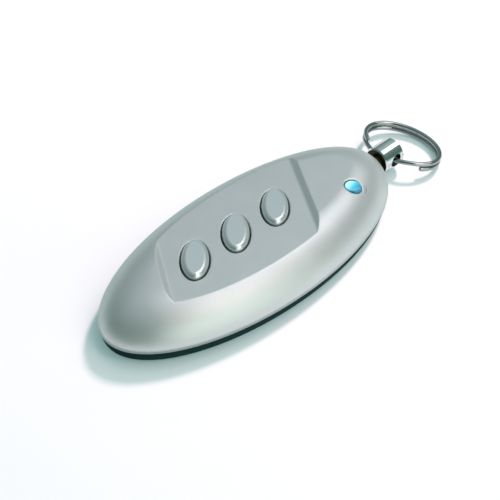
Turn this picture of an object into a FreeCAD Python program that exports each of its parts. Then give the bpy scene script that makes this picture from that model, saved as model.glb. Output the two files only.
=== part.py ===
import FreeCAD, Part
import math
import os
import re

import Sketcher

# Garage door remote: a flat pebble of two shells with three slanted oval buttons on a panel
# sunk into its crown, a signal lens, a turned key post and a split ring. The origin is the
# centre of the flat underside, +X runs along the body to the key ring and +Z is up.

# Driving sizes in millimetres, with angles in degrees
SIZES = {
    # outer form
    "body_length": 80.0,
    "body_width": 35.8,
    "parting_height": 3.45,
    "shell_height": 11.45,
    "side_rounding": 9.2,
    "nose_rounding": 13.5,
    "tail_rounding": 10.5,
    "dome_fullness": 1.8,
    "shell_wall": 1.3,
    "base_inset": 0.4,
    "base_wall": 1.3,
    "base_floor": 1.3,
    "base_rounding": 2.1,
    # tongue of the lower shell in the rim of the upper one
    "tongue_height": 0.9,
    "tongue_wall": 0.6,
    "tongue_gap": 0.1,
    # flat key panel, sunk into the crown between two slanted ramps
    "panel_height": 10.65,
    "panel_wall": 1.2,
    "panel_front": -23.75,
    "panel_back": 15.4,
    "panel_slant": 31.4,
    "panel_ramp": 1.4,
    # buttons
    "button_row": -4.4,
    "button_pitch": 11.68,
    "button_width": 5.8,
    "button_length": 11.4,
    "button_slant": 43.6,
    "button_gap": 0.3,
    "button_rise": 1.1,
    "button_edge": 1.0,
    "button_travel": 0.3,
    "button_flange": 0.8,
    "button_flange_margin": 0.6,
    "button_stop_gap": 0.1,
    "press_gap": 0.05,
    # signal lens
    "lens_setback": 15.95,
    "lens_across": -7.25,
    "lens_diameter": 3.8,
    "lens_gap": 0.08,
    "lens_edge": 10.85,
    "lens_crown": 0.5,
    "lens_flange_diameter": 5.4,
    "lens_flange_height": 0.6,
    "lens_flange_top": 7.4,
    "lens_foot_diameter": 2.2,
    # key post
    "post_overhang": 0.7,
    "post_length": 6.1,
    "post_height": 3.9,
    "post_diameter": 6.6,
    "post_chamfer": 0.35,
    "neck_diameter": 3.6,
    "neck_gap": 0.06,
    "post_flange_diameter": 5.4,
    "post_flange_setback": 4.8,
    "post_flange_width": 1.0,
    "eye_setback": 2.4,
    "eye_diameter": 3.2,
    "eye_chamfer": 0.5,
    "bearing_width": 9.0,
    "bearing_wall": 1.1,
    # split ring
    "ring_length": 14.4,
    "ring_width": 18.9,
    "ring_wire": 1.1,
    "ring_layer": 1.3,
    "ring_yaw": 6.0,
    "ring_roll": 2.6,
    "ring_setback": 0.65,
    "ring_sag": 0.2,
    "ring_floor_gap": 0.02,
    # circuit board
    "board_bottom": 5.0,
    "board_thickness": 0.8,
    "board_end_margin": 13.5,
    "board_oval_margin": 6.5,
    "board_width": 29.0,
    "board_pin_diameter": 1.4,
    "board_pin_gap": 0.08,
    "board_pin_rise": 0.5,
    "board_peg_diameter": 3.0,
    "peg_front_setback": 3.0,
    "peg_back_setback": 7.5,
    "peg_front_across": 5.0,
    "peg_back_across": 8.5,
    "board_clamp_gap": 0.1,
    # key switches
    "switch_side": 5.2,
    "switch_base_height": 1.12,
    "switch_cover": 0.18,
    "switch_floor": 0.3,
    "switch_bore": 3.7,
    "plunger_diameter": 2.2,
    "plunger_flange": 3.3,
    "plunger_flange_height": 0.2,
    "plunger_gap": 0.06,
    "dome_diameter": 3.4,
    "dome_height": 0.25,
    "dome_sheet": 0.1,
    # coin cell and its contacts
    "cell_along": -9.0,
    "cell_diameter": 20.0,
    "cell_height": 3.2,
    "cell_step": 0.5,
    "cell_gap": 0.2,
    "cell_lift": 0.1,
    "cell_rib_wall": 0.8,
    "cell_rib_height": 1.4,
    "contact_sheet": 0.2,
    "contact_width": 4.0,
    "contact_length": 9.0,
    "clip_sheet": 0.3,
    "clip_width": 6.0,
    "clip_foot": 3.0,
    "clip_gap": 0.05,
    # parts on the board
    "led_length": 2.0,
    "led_width": 1.25,
    "led_height": 0.8,
    "chip_setback": 25.5,
    "chip_across": 6.0,
    "chip_length": 5.0,
    "chip_width": 4.0,
    "chip_height": 1.4,
    "resonator_setback": 26.0,
    "resonator_across": -7.5,
    "resonator_length": 3.8,
    "resonator_width": 3.8,
    "resonator_height": 1.3,
    "driver_setback": 19.0,
    "driver_across": 1.0,
    "driver_length": 2.9,
    "driver_width": 1.4,
    "driver_height": 1.1,
    "trimmer_setback": 31.0,
    "trimmer_across": 0.0,
    "trimmer_diameter": 4.0,
    "trimmer_height": 1.6,
    "trimmer_slot": 0.6,
    "choke_setback": 23.5,
    "choke_across": 0.0,
    "choke_diameter": 3.6,
    "choke_waist": 2.4,
    "choke_height": 1.9,
    "choke_rim": 0.4,
    "capacitor_length": 2.0,
    "capacitor_width": 1.2,
    "capacitor_height": 0.8,
    "capacitor_setback": 18.5,
    "capacitor_pitch": 4.2,
    "capacitor_across": 9.8,
    "resistor_length": 1.6,
    "resistor_width": 0.8,
    "resistor_height": 0.45,
    "resistor_setback": 20.5,
    "resistor_pitch": 3.6,
    "resistor_across": -10.6,
    "antenna_length": 21.0,
    "antenna_width": 12.0,
    "antenna_strip": 1.0,
    "antenna_sheet": 0.25,
    "antenna_setback": 26.5,
    "antenna_across": 0.0,
    # case screws
    "screw_setback": 9.7,
    "screw_diameter": 2.0,
    "screw_head_diameter": 3.6,
    "screw_head_height": 1.1,
    "screw_length": 6.5,
    "screw_slot": 0.5,
    "screw_slot_depth": 0.5,
    "screw_sink": 0.35,
    "screw_gap": 0.15,
    "boss_diameter": 5.2,
    "boss_gap": 0.1,
    "thread_gap": 0.05,
    # bare rating label under the base
    "label_length": 30.0,
    "label_width": 14.0,
    "label_sheet": 0.15,
    "label_sink": 0.05,
    "label_gap": 0.2,
}

# Heights and places that follow from the driving sizes, written with their names
DERIVED = {
    "roof": "panel_height - panel_wall",
    "board_top": "board_bottom + board_thickness",
    "flange_top": "roof - button_stop_gap",
    "flange_bottom": "roof - button_stop_gap - button_flange",
    "plunger_bottom": "board_top + switch_floor + dome_height + button_travel + press_gap",
    "plunger_top": "roof - button_stop_gap - button_flange - press_gap",
    "button_top": "panel_height + button_rise",
    "lens_along": "body_length / 2 - lens_setback",
    "post_start": "body_length / 2 + post_overhang",
    "post_flange_start": "body_length / 2 - post_flange_setback",
    "board_length": "body_length - 2 * board_end_margin",
    "board_oval_length": "body_length - 2 * board_oval_margin",
    "peg_front": "peg_front_setback + board_end_margin - body_length / 2",
    "peg_back": "body_length / 2 - board_end_margin - peg_back_setback",
    "screw_along": "body_length / 2 - screw_setback",
    "chip_along": "body_length / 2 - chip_setback",
    "resonator_along": "body_length / 2 - resonator_setback",
    "driver_along": "body_length / 2 - driver_setback",
    "trimmer_along": "body_length / 2 - trimmer_setback",
    "choke_along": "body_length / 2 - choke_setback",
    "antenna_along": "body_length / 2 - antenna_setback",
    "capacitor_first": "capacitor_setback - body_length / 2",
    "resistor_first": "resistor_setback - body_length / 2",
    "post_end": "post_start + post_length",
    "eye_along": "post_start + post_length - eye_setback",
    "base_length": "body_length - 2 * base_inset",
    "base_width": "body_width - 2 * base_inset",
    "tongue_length": "body_length - 2 * (shell_wall - tongue_wall)",
    "tongue_width": "body_width - 2 * (shell_wall - tongue_wall)",
    "flange_end": "post_flange_start + post_flange_width",
    "cell_bottom": "base_floor + cell_lift",
    "cell_top": "base_floor + cell_lift + cell_height",
    "lens_top": "lens_edge + lens_crown",
    "screw_seat": "screw_sink + screw_head_height",
}

BUTTONS = (-1, 0, 1)
# Quarter-round steps of the dome from the parting line to its flat crown
DOME_STEPS = (0, 15, 30, 45, 60, 75, 90)

doc = FreeCAD.newDocument("garage_door_remote")
sheet = doc.addObject("Spreadsheet::Sheet", "Sizes")
for row, (word, value) in enumerate(SIZES.items(), start=1):
    sheet.set(f"A{row}", word)
    sheet.set(f"B{row}", str(value))
    sheet.setAlias(f"B{row}", word)
doc.recompute()


def formula(text):
    """Expand derived names and point each size at its cell."""
    def expand(match):
        word = match.group(0)
        if word in DERIVED:
            return "(" + formula(DERIVED[word]) + ")"
        return f"Sizes.{word}" if word in SIZES else word
    return re.sub(r"[a-z][a-z_0-9]*", expand, str(text))


def value(text):
    """The number that a formula gives with the sheet's present sizes."""
    return float(sheet.evalExpression(formula(text)))


def bind(thing, **formulas):
    """Tie properties to formulas; a double underscore stands for a dot."""
    for name, text in formulas.items():
        thing.setExpression(name.replace("__", "."), formula(text))
    return thing


def place(thing, x="0", y="0", z="0", turn=None):
    bind(thing, Placement__Base__x=x, Placement__Base__y=y, Placement__Base__z=z)
    if turn is not None:
        bind(thing, Placement__Rotation__Angle=turn)
    return thing


# PartDesign pieces: a body, its sketches and its features
def new_body(name):
    body = doc.addObject("PartDesign::Body", name + "_body")
    body.Label = name
    return body


def sketch_on(body, name, plane="XY_Plane", x="0", y="0", z="0", turn=None):
    sketch = body.newObject("Sketcher::SketchObject", name)
    origin_plane = next(item for item in body.Origin.OriginFeatures if item.Role == plane)
    sketch.AttachmentSupport = [(origin_plane, "")]
    sketch.MapMode = "FlatFace"
    bind(sketch, AttachmentOffset__Base__x=x, AttachmentOffset__Base__y=y, AttachmentOffset__Base__z=z)
    if turn is not None:
        bind(sketch, AttachmentOffset__Rotation__Angle=turn)
    return sketch


def dimension(sketch, name, kind, geometry, text):
    index = sketch.addConstraint(Sketcher.Constraint(kind, *geometry, value(text)))
    sketch.renameConstraint(index, name)
    sketch.setExpression("Constraints." + name, formula(text))


def draw_oval(sketch, length, width):
    """An ellipse centred on the sketch, with its long axis along the sketch's X."""
    long_half = value(length) / 2
    short_half = value(width) / 2
    ellipse = Part.Ellipse(FreeCAD.Vector(long_half, 0, 0), FreeCAD.Vector(0, short_half, 0),
                           FreeCAD.Vector(0, 0, 0))
    oval = sketch.addGeometry(ellipse, False)
    sketch.exposeInternalGeometry(oval)
    sketch.addConstraint(Sketcher.Constraint("Coincident", oval, 3, -1, 1))
    sketch.addConstraint(Sketcher.Constraint("PointOnObject", oval + 1, 1, -1))
    dimension(sketch, "long_axis", "Distance", (oval + 1, 1, oval + 1, 2), length)
    dimension(sketch, "short_axis", "Distance", (oval + 2, 1, oval + 2, 2), width)


def draw_circle(sketch, diameter, x="0", y="0", name="circle"):
    centre = FreeCAD.Vector(value(x), value(y), 0)
    circle = sketch.addGeometry(Part.Circle(centre, FreeCAD.Vector(0, 0, 1), value(diameter) / 2), False)
    dimension(sketch, name + "_x", "DistanceX", (-1, 1, circle, 3), x)
    dimension(sketch, name + "_y", "DistanceY", (-1, 1, circle, 3), y)
    dimension(sketch, name + "_size", "Diameter", (circle,), diameter)


def draw_outline(sketch, corners):
    """A closed outline of straight lines, each corner given as two formulas."""
    points = [FreeCAD.Vector(value(x), value(y), 0) for x, y in corners]
    count = len(points)
    first = sketch.GeometryCount
    for index, point in enumerate(points):
        sketch.addGeometry(Part.LineSegment(point, points[(index + 1) % count]), False)
    for index, (x, y) in enumerate(corners):
        line = first + index
        sketch.addConstraint(Sketcher.Constraint("Coincident", line, 2, first + (index + 1) % count, 1))
        dimension(sketch, f"across_{line}", "DistanceX", (-1, 1, line, 1), x)
        dimension(sketch, f"along_{line}", "DistanceY", (-1, 1, line, 1), y)


def draw_rectangle(sketch, length, width, x="0", y="0"):
    left, right = f"{x} - {length} / 2", f"{x} + {length} / 2"
    low, high = f"{y} - {width} / 2", f"{y} + {width} / 2"
    draw_outline(sketch, [(left, low), (right, low), (right, high), (left, high)])


def pad(body, sketch, height, name):
    feature = body.newObject("PartDesign::Pad", name)
    feature.Profile = sketch
    bind(feature, Length=height)
    doc.recompute()
    return feature


def pocket(body, sketch, depth, name, upwards=False):
    """Cut downwards from the sketch, or upwards, and make sure that it cuts."""
    before = body.Shape.Volume
    feature = body.newObject("PartDesign::Pocket", name)
    feature.Profile = sketch
    feature.Reversed = upwards
    bind(feature, Length=depth)
    doc.recompute()
    if body.Shape.Volume > before - 1e-6:
        raise RuntimeError(f"{name} cuts nothing")
    return feature


def turned(name, corners, x="0", y="0", z="0"):
    """A body of revolution about its own Z axis, from corners of radius and height."""
    body = new_body(name)
    sketch = sketch_on(body, name + "_section", "XZ_Plane")
    draw_outline(sketch, corners)
    feature = body.newObject("PartDesign::Revolution", name + "_turning")
    feature.Profile = sketch
    feature.ReferenceAxis = (sketch, ["V_Axis"])
    feature.Angle = 360
    doc.recompute()
    return place(body, x, y, z)


def edges_where(shape, test):
    return [f"Edge{index}" for index, edge in enumerate(shape.Edges, start=1) if test(edge)]


def soften(body, kind, edges, name, **sizes):
    base = body.Tip
    feature = body.newObject("PartDesign::" + kind, name)
    feature.Base = (base, edges)
    bind(feature, **sizes)
    body.Tip = feature
    doc.recompute()
    return feature


def flat_at(edge, height):
    return all(abs(vertex.Z - height) < 1e-4 for vertex in edge.Vertexes) and (
        abs(edge.BoundBox.ZLength) < 1e-4)


# Part pieces: boxes, round bars, ovals and booleans
def box(name, length, width, height, x="0", y="0", z="0"):
    """A block centred on x and y that stands on z."""
    block = doc.addObject("Part::Box", name)
    bind(block, Length=length, Width=width, Height=height)
    place(block, f"{x} - ({length}) / 2", f"{y} - ({width}) / 2", z)
    block.Label = name
    return block


def bar(name, diameter, height, x="0", y="0", z="0"):
    cylinder = doc.addObject("Part::Cylinder", name)
    bind(cylinder, Radius=f"({diameter}) / 2", Height=height)
    return place(cylinder, x, y, z)


def cross_bar(name, diameter, length, x, z):
    """A round bar along +X."""
    cylinder = bar(name, diameter, length, x, "0", z)
    cylinder.Placement.Rotation = FreeCAD.Rotation(FreeCAD.Vector(0, 1, 0), 90)
    return cylinder


def oval_bar(name, length, width, height, x, y, z, turn):
    """An oval prism with its long axis turned in plan."""
    oval = doc.addObject("Part::Ellipse", name + "_oval")
    bind(oval, MajorRadius=f"({length}) / 2", MinorRadius=f"({width}) / 2")
    place(oval, x, y, z, turn)
    prism = doc.addObject("Part::Extrusion", name)
    prism.Base = oval
    prism.DirMode = "Custom"
    prism.Dir = FreeCAD.Vector(0, 0, 1)
    prism.Solid = True
    bind(prism, LengthFwd=height)
    return prism


def joined(name, pieces):
    union = doc.addObject("Part::MultiFuse", name)
    union.Shapes = pieces
    doc.recompute()
    return union


def shared(name, first, second):
    common = doc.addObject("Part::MultiCommon", name)
    common.Shapes = [first, second]
    doc.recompute()
    return common


def cut(name, piece, tool):
    result = doc.addObject("Part::Cut", name)
    result.Base = piece
    result.Tool = tool
    doc.recompute()
    return result


def group(name, pieces):
    compound = doc.addObject("Part::Compound", name)
    compound.Links = pieces
    compound.Label = name
    doc.recompute()
    return compound


# The dome: oval sections that close in as they rise, faster at the nose than at the tail
def dome(name, margin, crown):
    sections = []
    for step in DOME_STEPS:
        closing = f"(1 - cos({step}) ^ (2 / dome_fullness))"
        rising = f"sin({step}) ^ (2 / dome_fullness)"
        section = doc.addObject("Part::Ellipse", f"{name}_section_{step}")
        ends = f"(nose_rounding + tail_rounding) * {closing}"
        bind(section,
             MajorRadius=f"(body_length - 2 * {margin} - {ends}) / 2",
             MinorRadius=f"body_width / 2 - {margin} - side_rounding * {closing}")
        place(section,
              x=f"(nose_rounding - tail_rounding) * {closing} / 2",
              z=f"parting_height + ({crown} - parting_height) * {rising}")
        sections.append(section)
    loft = doc.addObject("Part::Loft", name)
    loft.Sections = sections
    loft.Solid = True
    loft.Ruled = False
    doc.recompute()
    return loft


def panel_recess():
    """The space over the key panel: a flat floor between two ramps, turned by the slant."""
    body = new_body("panel_recess")
    profile = sketch_on(body, "recess_profile", "XZ_Plane")
    front, back = "panel_front * cos(panel_slant)", "panel_back * cos(panel_slant)"
    height = "panel_height + 2 * (shell_height - panel_height)"
    draw_outline(profile, [(front, "panel_height"), (back, "panel_height"),
                           (f"{back} + 2 * panel_ramp", height), (f"{front} - 2 * panel_ramp", height)])
    space = body.newObject("PartDesign::Pad", "recess_pad")
    space.Profile = profile
    space.Midplane = True
    bind(space, Length="body_length")
    doc.recompute()
    return place(body, turn="-panel_slant")


def upper_shell():
    outer = dome("dome_outer", "0", "shell_height")
    hollow = dome("dome_hollow", "shell_wall", "roof")
    skin = cut("dome_skin", cut("dome_with_panel", outer, panel_recess()), hollow)

    inner = []
    for side, sign in (("front", "-"), ("back", "")):
        inner.append(bar(f"boss_{side}", "boss_diameter", "shell_height - parting_height",
                         x=f"{sign}screw_along", z="parting_height + boss_gap"))
        for hand, across in (("left", ""), ("right", "-")):
            inner.append(bar(f"clamp_{side}_{hand}", "board_peg_diameter",
                             "shell_height - board_top - board_clamp_gap", x=f"peg_{side}",
                             y=f"{across}peg_{side}_across", z="board_top + board_clamp_gap"))
    inner.append(box("bearing_upper", "body_length / 2 - post_flange_start + bearing_wall",
                     "bearing_width", "shell_height - parting_height",
                     x="(body_length / 2 + post_flange_start - bearing_wall) / 2", z="parting_height"))
    ribs = shared("inner_ribs", joined("inner_bars", inner),
                  dome("dome_middle", "(shell_wall / 2)", "(panel_height - panel_wall / 2)"))
    shell = joined("shell_with_ribs", [skin, ribs])

    holes = []
    for place_in_row in BUTTONS:
        holes.append(oval_bar(f"button_hole_{place_in_row + 2}",
                              "button_length + 2 * button_gap", "button_width + 2 * button_gap",
                              "shell_height", f"button_row + {place_in_row} * button_pitch", "0",
                              "board_top", "90 - button_slant"))
    holes.append(bar("lens_hole", "lens_diameter + 2 * lens_gap", "shell_height",
                     "lens_along", "lens_across", "board_top"))
    holes += post_room("upper")
    for side, sign in (("front", "-"), ("back", "")):
        holes.append(bar(f"thread_{side}", "screw_diameter + 2 * thread_gap",
                         "screw_length + screw_seat - parting_height + screw_sink",
                         f"{sign}screw_along", "0", "parting_height"))
    tongue_room = cut("tongue_room",
                      oval_bar("tongue_room_outer", "tongue_length + 2 * tongue_gap",
                               "tongue_width + 2 * tongue_gap", "tongue_height + tongue_gap",
                               "0", "0", "parting_height", "0"),
                      oval_bar("tongue_room_inner", "tongue_length - 2 * tongue_wall - 4 * tongue_gap",
                               "tongue_width - 2 * tongue_wall - 4 * tongue_gap",
                               "tongue_height + tongue_gap", "0", "0", "parting_height", "0"))
    holes.append(tongue_room)
    shell = cut("top_shell", shell, joined("upper_holes", holes))
    return shell


def post_room(half):
    """The bearing bore and the flange slot that both shells share."""
    return [
        cross_bar(f"neck_bore_{half}", "neck_diameter + 2 * neck_gap", "body_length",
                  "post_flange_start - bearing_wall", "post_height"),
        cross_bar(f"flange_slot_{half}", "post_flange_diameter + 2 * neck_gap",
                  "post_flange_width + 2 * neck_gap", "post_flange_start - neck_gap", "post_height"),
    ]


def lower_shell():
    block = new_body("base_block")
    outline = sketch_on(block, "base_outline")
    draw_oval(outline, "base_length", "base_width")
    pad(block, outline, "parting_height", "base_pad")
    low_edge = edges_where(block.Shape, lambda edge: flat_at(edge, 0))
    soften(block, "Fillet", low_edge, "base_edge", Radius="base_rounding")
    tray = cut("base_tray", block,
               oval_bar("base_hollow", "base_length - 2 * base_wall", "base_width - 2 * base_wall",
                        "parting_height - base_floor", "0", "0", "base_floor", "0"))

    tongue = cut("tongue",
                 oval_bar("tongue_outer", "tongue_length", "tongue_width",
                          "parting_height + tongue_height - base_floor", "0", "0", "base_floor", "0"),
                 oval_bar("tongue_inner", "tongue_length - 2 * tongue_wall",
                          "tongue_width - 2 * tongue_wall",
                          "parting_height + tongue_height - base_floor", "0", "0", "base_floor", "0"))
    rib = cut("cell_rib",
              bar("cell_rib_outer", "cell_diameter + 2 * cell_gap + 2 * cell_rib_wall",
                  "cell_rib_height", "cell_along", "0", "base_floor"),
              joined("cell_rib_gaps", [
                  bar("cell_rib_inner", "cell_diameter + 2 * cell_gap", "cell_rib_height",
                      "cell_along", "0", "base_floor"),
                  box("clip_gap_in_rib", "cell_diameter", "clip_width + 2 * cell_gap", "cell_rib_height",
                      "cell_along - cell_diameter / 2", "0", "base_floor")]))
    pieces = [tray, tongue, rib]
    for side, sign in (("front", "-"), ("back", "")):
        pieces.append(bar(f"screw_boss_{side}", "boss_diameter", "parting_height - base_floor",
                          f"{sign}screw_along", "0", "base_floor"))
        for hand, across in (("left", ""), ("right", "-")):
            spot = {"x": f"peg_{side}", "y": f"{across}peg_{side}_across", "z": "base_floor"}
            pieces.append(bar(f"peg_{side}_{hand}", "board_peg_diameter", "board_bottom - base_floor",
                              **spot))
            pieces.append(bar(f"pin_{side}_{hand}", "board_pin_diameter",
                              "board_bottom + board_pin_rise - base_floor", **spot))
    bearing = box("bearing_lower", "base_length / 2 - post_flange_start + bearing_wall", "bearing_width",
                  "parting_height - base_floor / 2",
                  x="(base_length / 2 + post_flange_start - bearing_wall) / 2", z="base_floor / 2")
    pieces.append(shared("bearing_lower_trimmed", bearing,
                         oval_bar("bearing_limit", "base_length - base_wall", "base_width - base_wall",
                                  "parting_height - base_floor / 2", "0", "0", "base_floor / 2", "0")))

    holes = post_room("lower")
    for side, sign in (("front", "-"), ("back", "")):
        along = f"{sign}screw_along"
        holes.append(bar(f"screw_head_room_{side}", "screw_head_diameter + 2 * screw_gap",
                         "screw_seat", along, "0", "0"))
        holes.append(bar(f"screw_room_{side}", "screw_diameter + 2 * screw_gap", "parting_height",
                         along, "0", "0"))
    holes.append(box("label_recess", "label_length + 2 * label_gap", "label_width + 2 * label_gap",
                     "label_sheet + label_sink"))
    shell = cut("bottom_shell", joined("lower_pieces", pieces), joined("lower_holes", holes))
    return shell


def buttons():
    caps = []
    for place_in_row in BUTTONS:
        number = place_in_row + 2
        cap = new_body(f"button_{number}")
        spot = {"x": f"button_row + {place_in_row} * button_pitch", "turn": "90 - button_slant"}
        flange = sketch_on(cap, f"button_{number}_flange", z="flange_bottom", **spot)
        draw_oval(flange, "button_length + 2 * button_flange_margin",
                  "button_width + 2 * button_flange_margin")
        pad(cap, flange, "button_flange", f"button_{number}_flange_pad")
        face = sketch_on(cap, f"button_{number}_face", z="flange_bottom", **spot)
        draw_oval(face, "button_length", "button_width")
        pad(cap, face, "button_top - flange_bottom", f"button_{number}_cap")
        rim = edges_where(cap.Shape, lambda edge: flat_at(edge, value("button_top")))
        soften(cap, "Fillet", rim, f"button_{number}_rounding", Radius="button_edge")
        caps.append(cap)
    return caps


def key_switches():
    """Flat push switches under the buttons, each a base, a snap dome, a plunger and a cover."""
    pieces = []
    for place_in_row in BUTTONS:
        number = place_in_row + 2
        along = f"button_row + {place_in_row} * button_pitch"
        base = new_body(f"switch_base_{number}")
        block = sketch_on(base, f"switch_{number}_block", x=along, z="board_top")
        draw_rectangle(block, "switch_side", "switch_side")
        pad(base, block, "switch_base_height", f"switch_{number}_pad")
        well = sketch_on(base, f"switch_{number}_well", x=along, z="board_top + switch_base_height")
        draw_circle(well, "switch_bore")
        pocket(base, well, "switch_base_height - switch_floor", f"switch_{number}_bore")

        cover = new_body(f"switch_cover_{number}")
        plate = sketch_on(cover, f"switch_{number}_plate", x=along, z="board_top + switch_base_height")
        draw_rectangle(plate, "switch_side", "switch_side")
        draw_circle(plate, "plunger_diameter + 2 * plunger_gap")
        pad(cover, plate, "switch_cover", f"switch_{number}_cover_pad")

        plunger = turned(f"switch_plunger_{number}", [
            ("0", "plunger_bottom"),
            ("plunger_flange / 2", "plunger_bottom"),
            ("plunger_flange / 2", "plunger_bottom + plunger_flange_height"),
            ("plunger_diameter / 2", "plunger_bottom + plunger_flange_height"),
            ("plunger_diameter / 2", "plunger_top"),
            ("0", "plunger_top")], x=along)
        floor = "board_top + switch_floor"
        snap = turned(f"snap_dome_{number}", [
            ("0", f"{floor} + dome_height - dome_sheet"),
            ("dome_diameter * 0.3", f"{floor} + dome_height * 0.7 - dome_sheet"),
            ("dome_diameter / 2 - dome_sheet", floor),
            ("dome_diameter / 2", floor),
            ("dome_diameter * 0.3 + dome_sheet / 2", f"{floor} + dome_height * 0.7"),
            ("0", f"{floor} + dome_height")], x=along)
        pieces += [base, cover, plunger, snap]
    return pieces


def signal_lens():
    return turned("led_lens", [
        ("0", "board_top + led_height + press_gap"),
        ("lens_foot_diameter / 2", "board_top + led_height + press_gap"),
        ("lens_foot_diameter / 2", "lens_flange_top - lens_flange_height"),
        ("lens_flange_diameter / 2", "lens_flange_top - lens_flange_height"),
        ("lens_flange_diameter / 2", "lens_flange_top"),
        ("lens_diameter / 2", "lens_flange_top"),
        ("lens_diameter / 2", "lens_edge"),
        ("lens_diameter * 0.43", "lens_top - lens_crown * 0.48"),
        ("lens_diameter * 0.25", "lens_top - lens_crown * 0.13"),
        ("0", "lens_top")], "lens_along", "lens_across")


def key_post():
    """A turned post along +X with a flange between the shells and an eye across its end."""
    body = new_body("key_post")
    section = sketch_on(body, "post_section", "XZ_Plane", y="post_height")
    draw_outline(section, [
        ("post_flange_start", "0"),
        ("post_flange_start", "post_flange_diameter / 2"),
        ("flange_end", "post_flange_diameter / 2"),
        ("flange_end", "neck_diameter / 2"),
        ("post_start", "neck_diameter / 2"),
        ("post_start", "post_diameter / 2 - post_chamfer"),
        ("post_start + post_chamfer", "post_diameter / 2"),
        ("post_end - post_chamfer", "post_diameter / 2"),
        ("post_end", "post_diameter / 2 - post_chamfer"),
        ("post_end", "0")])
    turning = body.newObject("PartDesign::Revolution", "post_turning")
    turning.Profile = section
    turning.ReferenceAxis = (section, ["H_Axis"])
    turning.Angle = 360
    doc.recompute()
    eye = sketch_on(body, "post_eye", "XZ_Plane", x="eye_along", y="post_height")
    draw_circle(eye, "eye_diameter")
    bore = body.newObject("PartDesign::Pocket", "post_eye_bore")
    bore.Profile = eye
    bore.Type = "ThroughAll"
    bore.Midplane = True
    doc.recompute()
    mouths = sketch_on(body, "post_eye_mouths", x="eye_along", z="post_height")
    for side in ("", "-"):
        deep, high = f"{side}(post_diameter / 2 - eye_chamfer)", f"{side}(post_diameter / 2 + eye_chamfer)"
        draw_outline(mouths, [("0", deep), ("eye_diameter / 2", deep),
                              ("eye_diameter / 2 + 2 * eye_chamfer", high), ("0", high)])
    groove = body.newObject("PartDesign::Groove", "post_eye_groove")
    groove.Profile = mouths
    groove.ReferenceAxis = (mouths, ["V_Axis"])
    groove.Angle = 360
    doc.recompute()
    return body


def ring_point(angle, rise_from, rise_to):
    """Centre line of the split ring: one layer, a climb through the post's eye, the next."""
    long_half = value("ring_length") / 2
    wide_half = value("ring_width") / 2
    layer = value("ring_layer")
    share = min(max((angle - rise_from) / (rise_to - rise_from), 0), 1)
    height = layer * (share * share * (3 - 2 * share) - 0.5)
    slope = 0.0
    if 0 < share < 1:
        slope = layer * 6 * share * (1 - share) / math.radians(rise_to - rise_from)
    turn = math.radians(angle)
    point = FreeCAD.Vector(long_half * math.cos(turn), wide_half * math.sin(turn), height)
    heading = FreeCAD.Vector(-long_half * math.sin(turn), wide_half * math.cos(turn), slope)
    return point, heading.normalize()


def biarc(start, start_heading, end, end_heading):
    """Two arcs that meet smoothly between two points with given headings."""
    chord = end - start
    total = start_heading + end_heading
    spread = 2 * (1 - start_heading.dot(end_heading))
    along = chord.dot(total)
    reach = (-along + math.sqrt(along * along + spread * chord.dot(chord))) / spread
    joint = (start + end + (start_heading - end_heading) * reach) * 0.5
    arcs = []
    for near, corner, far in ((start, start + start_heading * reach, joint),
                              (joint, end - end_heading * reach, end)):
        weight = (far - near).Length / (2 * reach)
        middle = (near + corner * (2 * weight) + far) * (1 / (2 * (1 + weight)))
        arcs.append(Part.Arc(near, middle, far).toShape())
    return arcs


def split_ring():
    """A ring of spring wire in two layers, which passes through the eye of the key post."""
    rise_from, rise_to = 505.0, 589.0
    stations = [rise_from + 45 * eighth for eighth in range(-6, 1)]
    stations += [rise_from + (rise_to - rise_from) * third / 3 for third in (1, 2)]
    stations += [rise_to + 45 * eighth for eighth in range(7)]
    first_end, last_end = stations[0], stations[-1]
    path = []
    for low, high in zip(stations, stations[1:]):
        path += biarc(*ring_point(low, rise_from, rise_to), *ring_point(high, rise_from, rise_to))
    start, heading = ring_point(first_end, rise_from, rise_to)
    section = Part.Wire(Part.Circle(start, heading, value("ring_wire") / 2).toShape())
    wire = Part.Wire(path).makePipeShell([section], True, False)
    angles = [first_end + index * 3.0 for index in range(int((last_end - first_end) / 3.0) + 1)]
    centres = [ring_point(angle, rise_from, rise_to)[0] for angle in angles]
    gaps = [(centres[near] - centres[far]).Length
            for near in range(len(centres)) for far in range(near + 60, len(centres))]
    print("ring least gap to itself", round(min(gaps) - value("ring_wire"), 3))

    ring = doc.addObject("Part::Feature", "split_ring")
    ring.Shape = wire
    # The far side of the ring lies on the surface that the base stands on
    eye = FreeCAD.Vector(value("eye_along - ring_setback"), 0, value("post_height - ring_sag"))
    flat_pitch, steep_pitch = 0.0, 30.0
    for _ in range(30):
        pitch = (flat_pitch + steep_pitch) / 2
        turn = FreeCAD.Rotation(FreeCAD.Vector(0, 0, 1), value("ring_yaw"))
        turn = turn.multiply(FreeCAD.Rotation(FreeCAD.Vector(0, 1, 0), pitch))
        turn = turn.multiply(FreeCAD.Rotation(FreeCAD.Vector(1, 0, 0), value("ring_roll")))
        centre = eye + turn.multVec(FreeCAD.Vector(value("ring_length") / 2, 0, 0))
        lowest = min((centre + turn.multVec(point)).z for point in centres) - value("ring_wire") / 2
        if lowest > value("ring_floor_gap"):
            flat_pitch = pitch
        else:
            steep_pitch = pitch
    ring.Placement = FreeCAD.Placement(centre, turn)
    print("ring pitch", round(pitch, 3), "centre", [round(part, 3) for part in centre])
    return ring


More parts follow.
